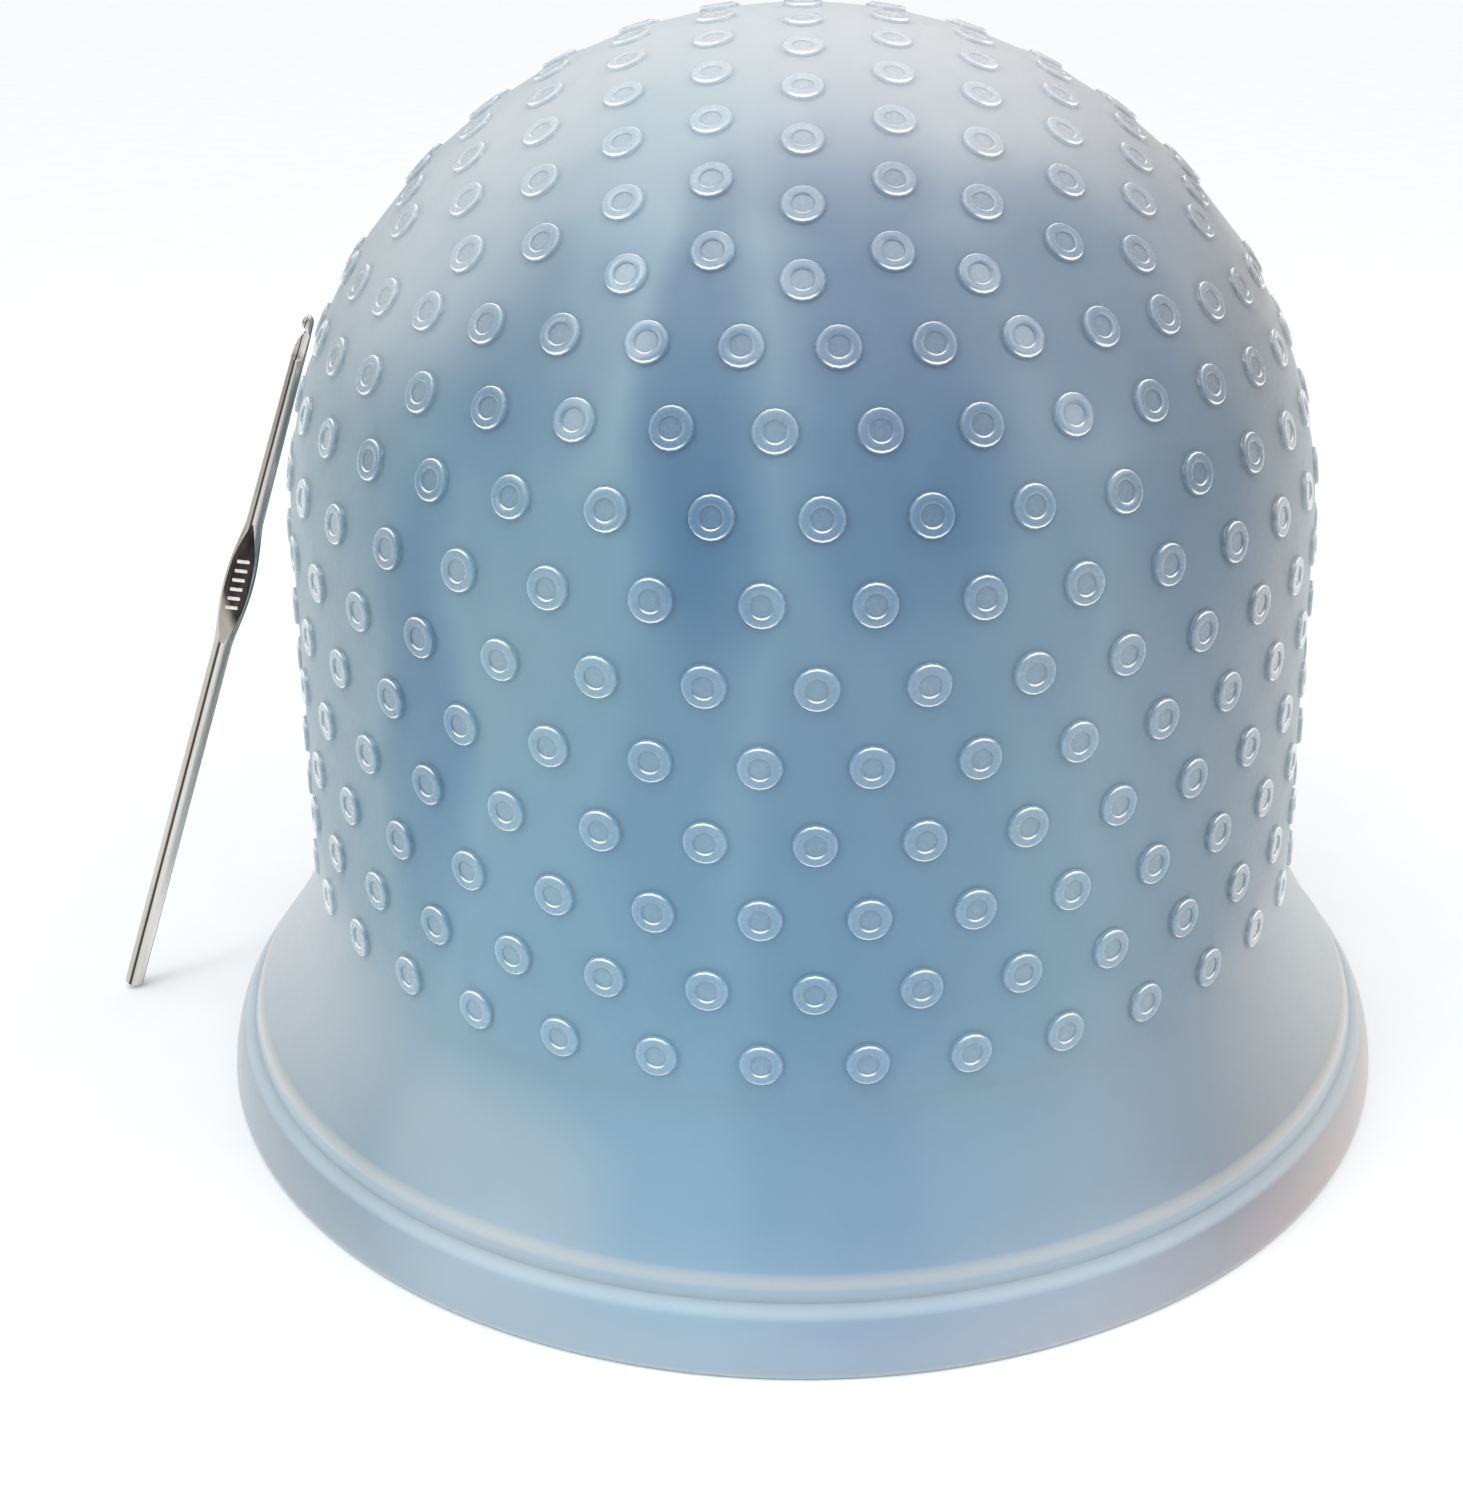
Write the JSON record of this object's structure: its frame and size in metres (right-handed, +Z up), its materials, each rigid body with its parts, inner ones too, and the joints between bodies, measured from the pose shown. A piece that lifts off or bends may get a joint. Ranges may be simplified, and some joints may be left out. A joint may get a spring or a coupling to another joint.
{
  "type": "highlighting cap",
  "caption": "Translucent silicone hair-highlighting cap with a high dome, flared skirt and rim band, and the slim steel crochet hook that draws hair through its eyelets, leaning on it.",
  "frame": {"origin": "middle of the set's footprint on the surface that it stands on; the cap's axis is 13.1 mm towards +X from it", "axes": "+Z up along the cap's axis, -Y towards the viewer, the hook on the -X side"},
  "size_m": [0.2429, 0.2168, 0.19],
  "materials": {
    "silicone": "satin translucent moulded silicone",
    "steel": "polished plated steel"
  },
  "bodies": {
    "cap": {"silicone_cap": "silicone"},
    "hook": {"hook": "steel"}
  },
  "joints": [
    {"name": "hook_lift", "type": "slide", "parent": "cap", "child": "hook", "axis": [0, 0, 1], "range_m": [0, 0.25]}
  ]
}
